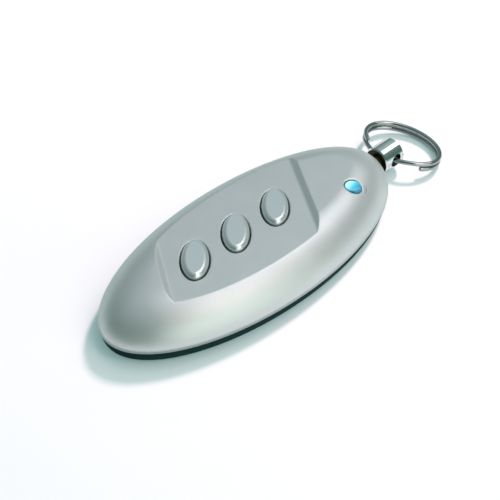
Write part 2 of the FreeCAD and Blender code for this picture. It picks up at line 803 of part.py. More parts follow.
def circuit_board():
    body = new_body("circuit_board")
    outline = sketch_on(body, "board_outline", z="board_bottom")
    draw_oval(outline, "board_oval_length", "board_width")
    pad(body, outline, "board_thickness", "board_pad")
    for end, side in (("front", "-"), ("back", "")):
        ends = sketch_on(body, f"board_{end}_end", z="board_top")
        near, far = f"{side}board_length / 2", f"{side}board_oval_length"
        draw_outline(ends, [(near, "-board_width"), (far, "-board_width"),
                            (far, "board_width"), (near, "board_width")])
        pocket(body, ends, "board_thickness", f"board_{end}_cut")
    pins = sketch_on(body, "board_pin_holes", z="board_top")
    hole = "board_pin_diameter + 2 * board_pin_gap"
    for side in ("front", "back"):
        for hand, across in (("left", ""), ("right", "-")):
            draw_circle(pins, hole, f"peg_{side}", f"{across}peg_{side}_across", f"{side}_{hand}")
    pocket(body, pins, "board_thickness", "board_pin_bores")
    return body


def coin_cell():
    step = "cell_step"
    return turned("coin_cell", [
        ("0", "cell_bottom"),
        (f"cell_diameter / 2 - {step} / 2", "cell_bottom"),
        ("cell_diameter / 2", f"cell_bottom + {step} / 2"),
        ("cell_diameter / 2", f"cell_top - {step}"),
        (f"cell_diameter / 2 - 2 * {step}", f"cell_top - {step}"),
        (f"cell_diameter / 2 - 2 * {step}", "cell_top"),
        ("0", "cell_top")], "cell_along")


def cell_contacts():
    """A leaf on the cell's face and a spring strap at its rim, both under the board."""
    leaf = box("negative_contact", "contact_length", "contact_width", "contact_sheet",
               "cell_along", "0", "board_bottom - contact_sheet")
    edge = "cell_along - cell_diameter / 2 - clip_gap"
    strap = new_body("positive_clip")
    side = sketch_on(strap, "clip_side", "XZ_Plane")
    draw_outline(side, [
        (edge, "cell_bottom + cell_step"),
        (edge, "board_bottom"),
        (f"{edge} - clip_foot", "board_bottom"),
        (f"{edge} - clip_foot", "board_bottom - clip_sheet"),
        (f"{edge} - clip_sheet", "board_bottom - clip_sheet"),
        (f"{edge} - clip_sheet", "cell_bottom + cell_step")])
    sheet_pad = strap.newObject("PartDesign::Pad", "clip_pad")
    sheet_pad.Profile = side
    sheet_pad.Midplane = True
    bind(sheet_pad, Length="clip_width")
    doc.recompute()
    return [leaf, strap]


def board_parts():
    """Chips and small parts of the transmitter, soldered on the board."""
    parts = [
        box("signal_led", "led_length", "led_width", "led_height", "lens_along", "lens_across", "board_top"),
        box("controller_chip", "chip_length", "chip_width", "chip_height",
            "chip_along", "chip_across", "board_top"),
        box("resonator", "resonator_length", "resonator_width", "resonator_height",
            "resonator_along", "resonator_across", "board_top"),
        box("transmit_transistor", "driver_length", "driver_width", "driver_height",
            "driver_along", "driver_across", "board_top"),
    ]
    below = "board_bottom - trimmer_height"
    trimmer = bar("trimmer_can", "trimmer_diameter", "trimmer_height", "trimmer_along", "trimmer_across",
                  below)
    slot = box("trimmer_slot_cut", "trimmer_diameter * 0.7", "trimmer_slot", "trimmer_slot",
               "trimmer_along", "trimmer_across", below)
    parts.append(cut("trimmer", trimmer, slot))
    parts.append(turned("choke", [
        ("0", "0"),
        ("choke_diameter / 2", "0"),
        ("choke_diameter / 2", "choke_rim"),
        ("choke_waist / 2", "choke_rim"),
        ("choke_waist / 2", "choke_height - choke_rim"),
        ("choke_diameter / 2", "choke_height - choke_rim"),
        ("choke_diameter / 2", "choke_height"),
        ("0", "choke_height")], "choke_along", "choke_across", "board_bottom - choke_height"))
    for name, count in (("capacitor", 5), ("resistor", 5)):
        chips = [box(f"{name}_{index + 1}", f"{name}_length", f"{name}_width", f"{name}_height",
                     f"{name}_first + {index} * {name}_pitch", f"{name}_across", "board_top")
                 for index in range(count)]
        parts.append(group(f"chip_{name}s", chips))
    return parts


def antenna():
    """A flat copper loop on the underside of the board."""
    body = new_body("antenna_loop")
    loop = sketch_on(body, "antenna_outline", z="board_bottom - antenna_sheet")
    x, y = "antenna_along", "antenna_across"
    draw_rectangle(loop, "antenna_length", "antenna_width", x, y)
    draw_rectangle(loop, "(antenna_length - 2 * antenna_strip)", "(antenna_width - 2 * antenna_strip)", x, y)
    pad(body, loop, "antenna_sheet", "antenna_pad")
    return body


def case_screws():
    screws = []
    for number, sign in ((1, "-"), (2, "")):
        screw = turned(f"case_screw_{number}", [
            ("0", "screw_sink"),
            ("screw_head_diameter / 2 - screw_sink / 2", "screw_sink"),
            ("screw_head_diameter / 2", "screw_sink * 1.5"),
            ("screw_head_diameter / 2", "screw_seat"),
            ("screw_diameter / 2", "screw_seat"),
            ("screw_diameter / 2", "screw_seat + screw_length - screw_diameter / 2"),
            ("0", "screw_seat + screw_length")], f"{sign}screw_along")
        for name, length, width in (("slot", "screw_head_diameter * 0.6", "screw_slot"),
                                    ("cross", "screw_slot", "screw_head_diameter * 0.6")):
            drive = sketch_on(screw, f"screw_{number}_{name}", z="screw_sink")
            draw_rectangle(drive, f"({length})", f"({width})")
            pocket(screw, drive, "screw_slot_depth", f"screw_{number}_{name}_cut", upwards=True)
        screws.append(screw)
    return screws


def main_pieces():
    pieces = [upper_shell(), lower_shell(), key_post(), split_ring(), signal_lens()]
    pieces += buttons()
    pieces += key_switches()
    pieces += [circuit_board(), coin_cell(), antenna()]
    pieces += cell_contacts()
    pieces += board_parts()
    pieces += case_screws()
    pieces.append(box("rating_label", "label_length", "label_width", "label_sheet", z="label_sink"))
    return pieces


sub_parts = main_pieces()
doc.recompute()
for item in doc.Objects:
    if "Invalid" in item.State or "Error" in item.State:
        raise RuntimeError(f"{item.Name} failed: {item.State}")
os.makedirs("parts", exist_ok=True)
for piece in sub_parts:
    shape = piece.Shape
    if shape.isNull() or not shape.isValid():
        raise RuntimeError(f"{piece.Label} has no valid shape")
    shape.exportStep(f"parts/{piece.Label}.step")
    print(piece.Label, "solids", len(shape.Solids), "volume", round(shape.Volume, 2))
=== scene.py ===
import math

import bmesh
import bpy
import mathutils
import numpy as np
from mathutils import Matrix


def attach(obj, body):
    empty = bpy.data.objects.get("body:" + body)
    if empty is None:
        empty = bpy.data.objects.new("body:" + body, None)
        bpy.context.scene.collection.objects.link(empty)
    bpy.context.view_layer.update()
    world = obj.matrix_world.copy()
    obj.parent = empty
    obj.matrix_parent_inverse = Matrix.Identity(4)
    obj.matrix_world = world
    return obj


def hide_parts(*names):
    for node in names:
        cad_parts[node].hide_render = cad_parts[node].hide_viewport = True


# Garage door remote. All sizes below are in millimetres and are brought to metres where a
# surface is put into its mesh.
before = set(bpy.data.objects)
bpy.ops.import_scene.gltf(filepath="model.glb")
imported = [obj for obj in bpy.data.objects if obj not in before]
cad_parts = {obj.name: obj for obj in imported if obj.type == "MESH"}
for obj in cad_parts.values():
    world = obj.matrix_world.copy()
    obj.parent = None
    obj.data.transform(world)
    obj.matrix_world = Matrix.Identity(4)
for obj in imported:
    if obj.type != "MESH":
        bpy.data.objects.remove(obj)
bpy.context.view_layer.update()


# Upper shell
# A moulded plastic pebble lacquered in satin silver. Its crown is cut flat for the keys
# between two slanted ramps, and it has three oval holes and one round one.
LENGTH, WIDTH = 79.99, 35.785
PARTING, CROWN = 3.45, 11.45
NOSE, TAIL, SIDE, FULLNESS = 13.5, 10.5, 9.2, 1.8
PANEL, PANEL_FRONT, PANEL_BACK = 10.65, -23.75, 15.4
RAMP, PANEL_TAN = 1.4, math.tan(math.radians(31.4))
PANEL_COS = math.cos(math.radians(31.4))
RAMP_FOOT, PANEL_EDGE = 0.35, 0.1
SHELL_WALL = 1.1


def section(share):
    """Half length, half width and centre of the oval that the dome has closed in to by a share."""
    return LENGTH / 2 - (NOSE + TAIL) / 2 * share, WIDTH / 2 - SIDE * share, (NOSE - TAIL) / 2 * share


def rise(share):
    """Height of the dome where it has closed in by a share, on a full rounded quarter curve."""
    return PARTING + (CROWN - PARTING) * (1 - (1 - share) ** FULLNESS) ** (1 / FULLNESS)


def closing(x, y):
    """Share by which the dome has closed in at plan points.

    The point lies on the oval of that share, which is found by halving the interval.
    """
    low, high = np.zeros_like(x), np.ones_like(x)
    for _ in range(34):
        middle = (low + high) / 2
        long_half, wide_half, centre = section(middle)
        inside = ((x - centre) / long_half) ** 2 + (y / wide_half) ** 2 < 1
        low, high = np.where(inside, middle, low), np.where(inside, high, middle)
    return (low + high) / 2


def soft_step(value):
    """Smooth climb from 0 to 1: three times the square less twice the cube."""
    value = np.clip(value, 0, 1)
    return value * value * (3 - 2 * value)


def recess(x, y):
    """Height that the key panel and its two ramps allow.

    It is flat between the ramps, then grows with the square of the way past a ramp's foot, and
    from there on in a straight slope.
    """
    along = x - y * PANEL_TAN
    beyond = np.maximum((PANEL_FRONT - along) * PANEL_COS, (along - PANEL_BACK) * PANEL_COS)
    curved = np.clip(beyond + RAMP_FOOT, 0, None) ** 2 / (4 * RAMP_FOOT)
    return PANEL + (CROWN - PANEL) / RAMP * np.where(beyond < RAMP_FOOT, curved, beyond)


def under(first, second, blend):
    """The lower of two heights, less a square of their nearness, which rounds off their crossing."""
    near = np.clip(blend - np.abs(first - second), 0, None)
    return np.minimum(first, second) - near * near / (4 * blend)


def shell_height(x, y):
    """Height of the shell at plan points: the dome, cut down to the panel and its ramps."""
    return under(rise(closing(x, y)), recess(x, y), PANEL_EDGE)


def put_mesh(name, points, faces, body):
    """Makes one object of points in millimetres and faces, smooth all over."""
    mesh = bpy.data.meshes.new(name)
    mesh.from_pydata((np.asarray(points) * 0.001).tolist(), [], faces)
    mesh.update()
    mesh.polygons.foreach_set("use_smooth", np.ones(len(mesh.polygons), bool))
    piece = bpy.data.objects.new(name, mesh)
    bpy.context.scene.collection.objects.link(piece)
    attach(piece, body)
    return piece


def grid_faces(rows, columns, first=0, closed=False, keep=None):
    """Four-cornered faces of a grid of points, row by row.

    A closed grid joins its last column to its first, and keep marks the faces that are made.
    """
    wide = columns if closed else columns - 1
    row, column = np.meshgrid(np.arange(rows - 1), np.arange(wide), indexing="ij")
    if keep is not None:
        row, column = row[keep], column[keep]
    after = (column + 1) % columns
    corners = np.stack([row * columns + column, row * columns + after,
                        (row + 1) * columns + after, (row + 1) * columns + column], -1)
    return (corners.reshape(-1, 4) + first).tolist()


def merge_close(piece, distance=0.002, flip=False):
    """Joins points that coincide, and turns faces over where the grid ran the other way."""
    work = bmesh.new()
    work.from_mesh(piece.data)
    bmesh.ops.remove_doubles(work, verts=work.verts, dist=distance * 0.001)
    if flip:
        bmesh.ops.reverse_faces(work, faces=work.faces)
    work.to_mesh(piece.data)
    work.free()
    piece.data.update()


# Lines across the shell run with the slant, from the near side to the far one: up the flank
# to the panel's level, straight over the crown, and down the other flank.
panel_share = 1 - (1 - ((PANEL - PARTING) / (CROWN - PARTING)) ** FULLNESS) ** (1 / FULLNESS)
rim_long, rim_wide, rim_centre = section(panel_share)
slant_reach = math.hypot(rim_long, rim_wide * PANEL_TAN)
slant_turn = math.atan2(rim_wide * PANEL_TAN, rim_long)
even = rim_centre + slant_reach * np.cos(np.linspace(math.pi, 0, 181))
at_ramps = np.concatenate([PANEL_FRONT + np.arange(-2.2, 0.7, 0.12),
                           PANEL_BACK + np.arange(-0.6, 2.3, 0.12)])
lines = np.sort(np.concatenate([even, at_ramps]))
lines = lines[np.concatenate([[True], np.diff(lines) > 0.05])]
lines[0], lines[-1] = even[0], even[-1]
half_turn = np.arccos(np.clip((lines - rim_centre) / slant_reach, -1, 1))
near_turn, far_turn = -slant_turn - half_turn, -slant_turn + half_turn

flank = panel_share * np.sin(np.linspace(0, math.pi / 2, 30)) ** 1.3
span = 0.5 - 0.5 * np.cos(np.linspace(0, math.pi, 132))


def flank_points(turn, share):
    """Points of the dome where lines of one turn round its ovals cross the ovals of each share."""
    long_half, wide_half, centre = section(share[None, :])
    x, y = centre + long_half * np.cos(turn)[:, None], wide_half * np.sin(turn)[:, None]
    return x, y, rise(share)[None, :]


near_x, near_y, near_z = flank_points(near_turn, flank)
far_x, far_y, far_z = flank_points(far_turn, flank[::-1])
across_x = near_x[:, -1:] + (far_x[:, :1] - near_x[:, -1:]) * span
across_y = near_y[:, -1:] + (far_y[:, :1] - near_y[:, -1:]) * span
across_z = rise(closing(across_x, across_y))
shell_x = np.hstack([near_x[:, :-1], across_x, far_x[:, 1:]])
shell_y = np.hstack([near_y[:, :-1], across_y, far_y[:, 1:]])
dome_z = np.hstack([np.broadcast_to(near_z, near_x.shape)[:, :-1], across_z,
                    np.broadcast_to(far_z, far_x.shape)[:, 1:]])
shell_z = under(dome_z, recess(shell_x, shell_y), PANEL_EDGE)

BUTTON_ROW, BUTTON_PITCH = -4.4, 11.68
BUTTON_WIDE, BUTTON_LONG, BUTTON_SLANT = 2.9, 5.7, math.radians(43.6)
BUTTON_GAP, LENS_GAP = 0.3, 0.08
LENS_X, LENS_Y, LENS_RADIUS = 24.05, -7.25, 1.9
HOLE_MARGIN, HOLE_LIP, BORE_DEPTHS = 0.7, 0.3, (0.7, 1.3)
holes = [(BUTTON_ROW + step * BUTTON_PITCH, 0.0, BUTTON_WIDE + BUTTON_GAP, BUTTON_LONG + BUTTON_GAP,
          BUTTON_SLANT) for step in (-1, 0, 1)]
holes.append((LENS_X, LENS_Y, LENS_RADIUS + LENS_GAP, LENS_RADIUS + LENS_GAP, 0.0))

rows, columns = shell_x.shape
points = [np.stack([shell_x, shell_y, shell_z], -1).reshape(-1, 3)]
kept = np.ones((rows - 1, columns - 1), bool)
ring_faces = []
for centre_x, centre_y, wide, long, slant in holes:
    # A window of the grid round the hole is left out. Rings of points lead from its border to
    # the hole's edge, over a rounded lip and down the bore.
    across_axis = (shell_x - centre_x) * math.cos(slant) - (shell_y - centre_y) * math.sin(slant)
    along_axis = (shell_x - centre_x) * math.sin(slant) + (shell_y - centre_y) * math.cos(slant)
    covered = (np.abs(across_axis) < wide + HOLE_MARGIN) & (np.abs(along_axis) < long + HOLE_MARGIN)
    touched_rows, touched_columns = np.nonzero(covered)
    top, bottom = touched_rows.min(), touched_rows.max()
    left, right = touched_columns.min(), touched_columns.max()
    kept[top:bottom, left:right] = False
    border = np.array([(top, column) for column in range(left, right)]
                      + [(row, right) for row in range(top, bottom)]
                      + [(bottom, column) for column in range(right, left, -1)]
                      + [(row, left) for row in range(bottom, top, -1)])
    at_border = border[:, 0], border[:, 1]
    start_x, start_y = shell_x[at_border], shell_y[at_border]
    angle = np.arctan2(along_axis[at_border] / long, across_axis[at_border] / wide)
    edge_x = centre_x + wide * np.cos(angle) * math.cos(slant) + long * np.sin(angle) * math.sin(slant)
    edge_y = centre_y - wide * np.cos(angle) * math.sin(slant) + long * np.sin(angle) * math.cos(slant)
    lip = HOLE_LIP / np.hypot(start_x - edge_x, start_y - edge_y)
    steps = [(share * (1 - lip), 0.0) for share in (0.0, 0.25, 0.5, 0.7, 0.85)]
    steps += [(1 - lip * (1 - math.sin(turn)), HOLE_LIP * (1 - math.cos(turn)))
              for turn in np.linspace(0, math.pi / 2, 7)]
    steps += [(1.0, depth) for depth in BORE_DEPTHS]
    first = sum(len(block) for block in points)
    for share, drop in steps:
        ring_x, ring_y = start_x + (edge_x - start_x) * share, start_y + (edge_y - start_y) * share
        points.append(np.stack([ring_x, ring_y, shell_height(ring_x, ring_y) - drop], -1))
    ring_faces += grid_faces(len(steps), len(border), first, closed=True)
shell = put_mesh("upper_case", np.concatenate(points),
                 grid_faces(rows, columns, keep=kept) + ring_faces, "case")
merge_close(shell, flip=True)
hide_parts("top_shell")


class Tone:
    """One socket of a material. Arithmetic on it adds the Math nodes that do it."""

    def __init__(self, finish, socket):
        self.finish, self.socket = finish, socket

    def math(self, operation, first, second):
        """A Math node's result for two values."""
        return self.finish.node("ShaderNodeMath", {"operation": operation}, {0: first, 1: second})

    def __add__(self, other):
        return self.math("ADD", self, other)

    def __radd__(self, other):
        return self.math("ADD", other, self)

    def __sub__(self, other):
        return self.math("SUBTRACT", self, other)

    def __rsub__(self, other):
        return self.math("SUBTRACT", other, self)

    def __mul__(self, other):
        return self.math("MULTIPLY", self, other)

    def __rmul__(self, other):
        return self.math("MULTIPLY", other, self)


class Finish:
    """A material that is built up from tones, with one Principled shader."""

    def __init__(self, name, **constants):
        self.material = bpy.data.materials.new(name)
        self.material.use_nodes = True
        self.tree = self.material.node_tree
        self.shader = self.tree.nodes["Principled BSDF"]
        self.feed(**constants)

    def plug(self, socket, value):
        """Links a tone to a socket, or sets the socket's own colour or number."""
        if isinstance(value, Tone):
            self.tree.links.new(value.socket, socket)
        elif isinstance(value, (tuple, list)) and socket.type == "RGBA":
            socket.default_value = (*value[:3], 1.0)
        else:
            socket.default_value = value

    def node(self, kind, settings=None, sockets=None, out=0):
        """Any node: its settings come first, then the values or links of its sockets."""
        made = self.tree.nodes.new(kind)
        for name, value in (settings or {}).items():
            if name == "stops":
                elements = made.color_ramp.elements
                while len(elements) < len(value):
                    elements.new(0.5)
                for element, (position, colour) in zip(elements, value):
                    element.position, element.color = position, (*colour, 1.0)
            else:
                setattr(made, name, value)
        for name, value in (sockets or {}).items():
            self.plug(made.inputs[name], value)
        return Tone(self, made.outputs[out])

    def feed(self, **sockets):
        """Gives values or links to the shader's own sockets."""
        for name, value in sockets.items():
            self.plug(self.shader.inputs[name.replace("_", " ")], value)
        return self

    def place(self):
        """Object coordinates, in metres."""
        return self.node("ShaderNodeTexCoord", out="Object")

    def part(self, vector, letter):
        """One of a vector's three numbers."""
        return self.node("ShaderNodeSeparateXYZ", None, {0: vector}, out=letter)

    def held(self, tone, slope):
        """A tone times a slope, held between 0 and 1."""
        return self.node("ShaderNodeMath", {"operation": "MULTIPLY", "use_clamp": True}, {0: tone, 1: slope})

    def speckle(self, scale, detail=2.0):
        """Fine noise through the solid, with as many spots to the metre as the scale says."""
        return self.node("ShaderNodeTexNoise", None,
                         {"Vector": self.place(), "Scale": scale, "Detail": detail, "Roughness": 0.5})

    def ramp(self, share, *stops):
        """A colour that runs through the stops, each with its place and its colour."""
        return self.node("ShaderNodeValToRGB", {"stops": stops}, {0: share})

    def blend(self, share, first, second):
        """First colour at a share of 0, second at 1."""
        return self.node("ShaderNodeMix", {"data_type": "RGBA"}, {0: share, 6: first, 7: second}, out=2)

    def relief(self, height, distance, strength=1.0):
        """A normal that follows a height of so many metres."""
        return self.node("ShaderNodeBump", None,
                         {"Strength": strength, "Distance": distance, "Height": height})


def dress(piece, finish):
    """Gives a piece one finish all over."""
    piece.data.materials.clear()
    piece.data.materials.append(finish.material)


silver = Finish("satin_silver_lacquer", Metallic=0.85, IOR=1.5, Specular_Tint=(0.45, 0.66, 0.58))
flakes = silver.speckle(9000.0, 1.0)
cloud = silver.speckle(160.0, 3.0)
silver.feed(Base_Color=silver.blend(flakes * 0.6 + cloud * 0.4, (0.53, 0.57, 0.57), (0.71, 0.75, 0.75)),
            Roughness=0.41 + cloud * 0.05 + flakes * 0.04,
            Normal=silver.relief(flakes, 0.000012, 0.35))
dress(shell, silver)
wall = shell.modifiers.new("wall", "SOLIDIFY")
wall.thickness, wall.offset = SHELL_WALL * 0.001, -1.0


# Keys
# Three oval caps of the same lacquered plastic, each on a wide flange that holds it under the
# panel. The sides roll over into a flat face.
ROOF, BUTTON_TOP = 9.45, PANEL + 1.097
FLANGE_TOP, FLANGE, FLANGE_MARGIN = ROOF - 0.1, 0.8, 0.6
ROLL_WIDE, ROLL_DEEP, ROLL_END = 1.0, 1.0, math.radians(68.0)
satin = Finish("silver_key_lacquer", Metallic=0.9)
grain = satin.speckle(9000.0, 1.0)
satin.feed(Base_Color=satin.blend(grain, (0.64, 0.69, 0.69), (0.74, 0.79, 0.79)),
           Roughness=0.32 + grain * 0.05, Normal=satin.relief(grain, 0.000012, 0.3))


def button_surface(centre_x):
    """Ovals stacked by margin and height: the flange, the side, a round shoulder and the flat face.

    The shoulder is an oval arc that stops short of level, so the face keeps an edge.
    """
    roll = np.linspace(0, ROLL_END, 14)
    shoulder = zip(-ROLL_WIDE * (1 - np.cos(roll)) / (1 - math.cos(ROLL_END)),
                   BUTTON_TOP - ROLL_DEEP * (1 - np.sin(roll) / math.sin(ROLL_END)))
    stack = [(-2.7, FLANGE_TOP - FLANGE), (FLANGE_MARGIN, FLANGE_TOP - FLANGE), (FLANGE_MARGIN, FLANGE_TOP),
             (0.0, FLANGE_TOP), (0.0, FLANGE_TOP + 0.02), *shoulder]
    stack += [(-ROLL_WIDE - margin, BUTTON_TOP + 0.001 * margin) for margin in (0.03, 0.3, 1.0, 1.7)]
    margin, height = np.array(stack).T
    turn = np.linspace(0, 2 * math.pi, 145)[:-1]
    wide = (BUTTON_WIDE + margin)[:, None] * np.cos(turn)
    long = (BUTTON_LONG + margin)[:, None] * np.sin(turn)
    x = centre_x + wide * math.cos(BUTTON_SLANT) + long * math.sin(BUTTON_SLANT)
    y = -wide * math.sin(BUTTON_SLANT) + long * math.cos(BUTTON_SLANT)
    return np.stack([x, y, np.broadcast_to(height[:, None], x.shape)], -1)


def capped_faces(surface):
    """Faces of a tube of rings of points, with one face across each end."""
    count, around = surface.shape[:2]
    faces = grid_faces(count, around, closed=True)
    faces.append(list(range(around))[::-1])
    faces.append([(count - 1) * around + index for index in range(around)])
    return faces


for number, step in enumerate((-1, 0, 1), start=1):
    surface = button_surface(BUTTON_ROW + step * BUTTON_PITCH)
    key = put_mesh(f"key_{number}", surface.reshape(-1, 3), capped_faces(surface),
                   f"button_{number}_cap")
    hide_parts(f"button_{number}")
    dress(key, satin)


# Signal lens
# A clear blue plastic light guide, its round head polished and slightly domed, which lights up
# when a key is pressed.
LENS_EDGE, LENS_CROWN = 10.85, 0.4975
LENS_FOOT, FOOT_BOTTOM = 1.1, 6.65
LENS_FLANGE, FLANGE_FROM, FLANGE_TO = 2.7, 6.8, 7.4
# Light crossing the clear head is painted into its colour. A painted shade darkens the rim on the
# side where the light comes in, the blue runs from the deepest shade on the far side to a painted
# highlight, and a painted glow lights the bright side.
lens = Finish("clear_blue_lens", Roughness=0.08, IOR=1.49, Coat_Weight=0.6, Coat_Roughness=0.04)
from_axis = lens.node("ShaderNodeVectorMath", {"operation": "SUBTRACT"},
                      {0: lens.place(), 1: (LENS_X / 1000, LENS_Y / 1000, 0.0)})
level = lens.node("ShaderNodeVectorMath", {"operation": "MULTIPLY"}, {0: from_axis, 1: (1.0, 1.0, 0.0)})
radius = lens.node("ShaderNodeVectorMath", {"operation": "LENGTH"}, {0: level}, out="Value")
head = lens.held(0.00186 - radius, 3200.0)
# Share across the head, from the far side to the side where light comes in. It places the painted shade on
# the rim, the painted highlight in the blue and the painted glow.
depth = lens.part(from_axis, "Y") * 180.0 - lens.part(from_axis, "X") * 60.0 + 0.5
painted_shade_rim = lens.ramp(depth, (0.2, (0.0, 0.3, 0.5)), (0.6, (0.0, 0.03, 0.06)))
blue = lens.ramp(depth, (0.1, (0.0, 0.06, 0.2)), (0.45, (0.0, 0.44, 0.6)), (0.8, (0.45, 0.98, 0.98)))
painted_lens_glow = lens.ramp(depth, (0.15, (0.0, 0.15, 0.3)), (0.8, (0.8, 1.0, 0.95)))
lens.feed(Base_Color=lens.blend(head, painted_shade_rim, blue), Emission_Color=lens.blend(head, (0.0, 0.0, 0.0), painted_lens_glow),
          Emission_Strength=0.25)
profile = [(0.0, FOOT_BOTTOM), (LENS_FOOT, FOOT_BOTTOM), (LENS_FOOT, FLANGE_FROM), (LENS_FLANGE, FLANGE_FROM),
           (LENS_FLANGE, FLANGE_TO), (LENS_RADIUS, FLANGE_TO), (LENS_RADIUS, LENS_EDGE - 0.02)]
profile += [(LENS_RADIUS * math.cos(turn), LENS_EDGE + LENS_CROWN * math.sin(turn))
            for turn in np.linspace(0.0, math.pi / 2, 16)]


def turned(profile, around, centre=(0.0, 0.0)):
    """A profile of radius and height carried round a vertical axis."""
    radius, height = np.array(profile).T
    turn = np.linspace(0, 2 * math.pi, around + 1)[:-1]
    x = centre[0] + radius[:, None] * np.cos(turn)
    y = centre[1] + radius[:, None] * np.sin(turn)
    return np.stack([x, y, np.broadcast_to(height[:, None], x.shape)], -1)


surface = turned(profile, 96, (LENS_X, LENS_Y))
light = put_mesh("signal_lens", surface.reshape(-1, 3), grid_faces(*surface.shape[:2], closed=True),
                 "case")
merge_close(light)
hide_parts("led_lens")
dress(light, lens)


# Lower shell
# The dark, half matt plastic tray that the remote lies on; only its band shows under the
# silver.
tray = Finish("dark_moulded_plastic", Roughness=0.6, Specular_IOR_Level=0.05)
tray.feed(Base_Color=tray.blend(tray.speckle(900.0), (0.006, 0.028, 0.028), (0.012, 0.04, 0.04)),
          Normal=tray.relief(tray.speckle(3500.0), 0.00001, 0.4))
dress(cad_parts["bottom_shell"], tray)


# Key post
# A turned and chromed pin with bevelled rims, dull on the neck at the case. The neck's dark colour is
# painted: it stands for the reflection of the dark case and the shade beside it. A collar between
# the shells holds it, and the ring goes through a hole across its free end.
NECK_SHADE_ENDS = 0.04075
chrome = Finish("polished_chrome", Metallic=1.0)
# Nearer the case than this point, the neck's dark olive colour is a painted reflection of the dark case and
# painted shade. Beyond it the chrome has its own colour.
bright = chrome.node("ShaderNodeMath", {"operation": "GREATER_THAN"},
                     {0: chrome.part(chrome.place(), "X"), 1: NECK_SHADE_ENDS})
plate = chrome.blend(chrome.speckle(500.0), (0.62, 0.68, 0.67), (0.72, 0.77, 0.76))
chrome.feed(Base_Color=chrome.blend(bright, (0.05, 0.05, 0.025), plate), Roughness=0.42 - bright * 0.36)
dress(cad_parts["key_post"], chrome)


# Split ring
# Hard spring wire wound in two flat coils. One end lies under the other coil, and the wire
# climbs from the lower coil to the upper one inside the post's hole.
# Half length, half width, wire radius and the height between the middles of the coils
RING_LONG, RING_WIDE, WIRE, LAYER = 7.2, 9.45, 0.55, 1.3
RISE_FROM, RISE_TO = math.radians(505.0), math.radians(589.0)
RING_YAW, RING_PITCH, RING_ROLL = math.radians(6.0), math.radians(9.668), math.radians(2.6)
RING_CENTRE = np.array([50.809, 0.742, 2.491])
END_STEPS, END_RADIUS = 4, 0.72


def turn_about(axis, angle):
    """Rotation matrix about X, Y or Z by an angle."""
    first, second = (axis + 1) % 3, (axis + 2) % 3
    matrix = np.eye(3)
    matrix[first, first] = matrix[second, second] = math.cos(angle)
    matrix[first, second], matrix[second, first] = -math.sin(angle), math.sin(angle)
    return matrix


def ring_tube(steps, around):
    """A round wire along an oval whose height climbs smoothly from one coil to the next.

    The wire's circle stands square to the oval's heading, and shrinks over the last steps so
    that the cut ends are rounded.
    """
    angle = np.linspace(RISE_FROM - 1.5 * math.pi, RISE_TO + 1.5 * math.pi, steps)
    climb = soft_step((angle - RISE_FROM) / (RISE_TO - RISE_FROM))
    line = np.stack([RING_LONG * np.cos(angle), RING_WIDE * np.sin(angle), LAYER * (climb - 0.5)], -1)
    heading = np.gradient(line, axis=0)
    heading /= np.linalg.norm(heading, axis=1, keepdims=True)
    outward = np.cross(heading, (0.0, 0.0, 1.0))
    outward /= np.linalg.norm(outward, axis=1, keepdims=True)
    upward = np.cross(outward, heading)
    from_end = np.clip(np.minimum(np.arange(steps), np.arange(steps)[::-1]) / END_STEPS, 0, 1)
    radius = WIRE * (END_RADIUS + (1 - END_RADIUS) * np.sqrt(1 - (1 - from_end) ** 2))
    turn = np.linspace(0, 2 * math.pi, around + 1)[:-1]
    tube = line[:, None] + radius[:, None, None] * (outward[:, None] * np.cos(turn)[None, :, None]
                                                    + upward[:, None] * np.sin(turn)[None, :, None])
    tilt = turn_about(2, RING_YAW) @ turn_about(1, RING_PITCH) @ turn_about(0, RING_ROLL)
    return tube @ tilt.T + RING_CENTRE


surface = ring_tube(721, 24)
ring = put_mesh("key_ring", surface.reshape(-1, 3), capped_faces(surface), "ring")
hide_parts("split_ring")
spring = Finish("polished_spring_wire", Metallic=1.0, Roughness=0.07)
spring.feed(Base_Color=spring.blend(spring.speckle(500.0), (0.31, 0.345, 0.34), (0.37, 0.405, 0.4)))
dress(ring, spring)


# Inner parts
# The circuit board with its switches, chips and loop antenna, the coin cell with its contacts,
# the case screws and the bare label under the base.
board = Finish("green_solder_mask", Roughness=0.3, Coat_Weight=0.3)
board.feed(Base_Color=board.blend(board.speckle(700.0), (0.01, 0.12, 0.05), (0.02, 0.2, 0.08)))
black = Finish("black_moulding", Roughness=0.45)
black.feed(Base_Color=black.blend(black.speckle(2500.0), (0.012, 0.012, 0.013), (0.03, 0.03, 0.032)))
steel = Finish("bright_sheet_steel", Metallic=1.0, Roughness=0.28)
steel.feed(Base_Color=steel.blend(steel.speckle(1500.0), (0.55, 0.55, 0.53), (0.68, 0.68, 0.66)))
copper = Finish("bare_copper", Metallic=1.0, Roughness=0.3)
copper.feed(Base_Color=copper.blend(copper.speckle(1200.0), (0.6, 0.3, 0.18), (0.78, 0.45, 0.28)))
pale = Finish("pale_ceramic", Roughness=0.4)
pale.feed(Base_Color=pale.blend(pale.speckle(1500.0), (0.72, 0.68, 0.58), (0.85, 0.82, 0.74)))
film = Finish("bare_label_film", Roughness=0.5)
film.feed(Base_Color=film.blend(film.speckle(900.0), (0.6, 0.6, 0.58), (0.7, 0.7, 0.68)))
inner = {
    board: ["circuit_board"],
    black: ["switch_base_1", "switch_base_2", "switch_base_3", "switch_plunger_1", "switch_plunger_2",
            "switch_plunger_3", "controller_chip", "transmit_transistor", "choke", "chip_resistors"],
    steel: ["switch_cover_1", "switch_cover_2", "switch_cover_3", "snap_dome_1", "snap_dome_2", "snap_dome_3",
            "coin_cell", "negative_contact", "positive_clip", "resonator", "case_screw_1", "case_screw_2"],
    copper: ["antenna_loop"],
    pale: ["signal_led", "trimmer", "chip_capacitors"],
    film: ["rating_label"],
}
for finish, names in inner.items():
    for name in names:
        dress(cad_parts[name], finish)


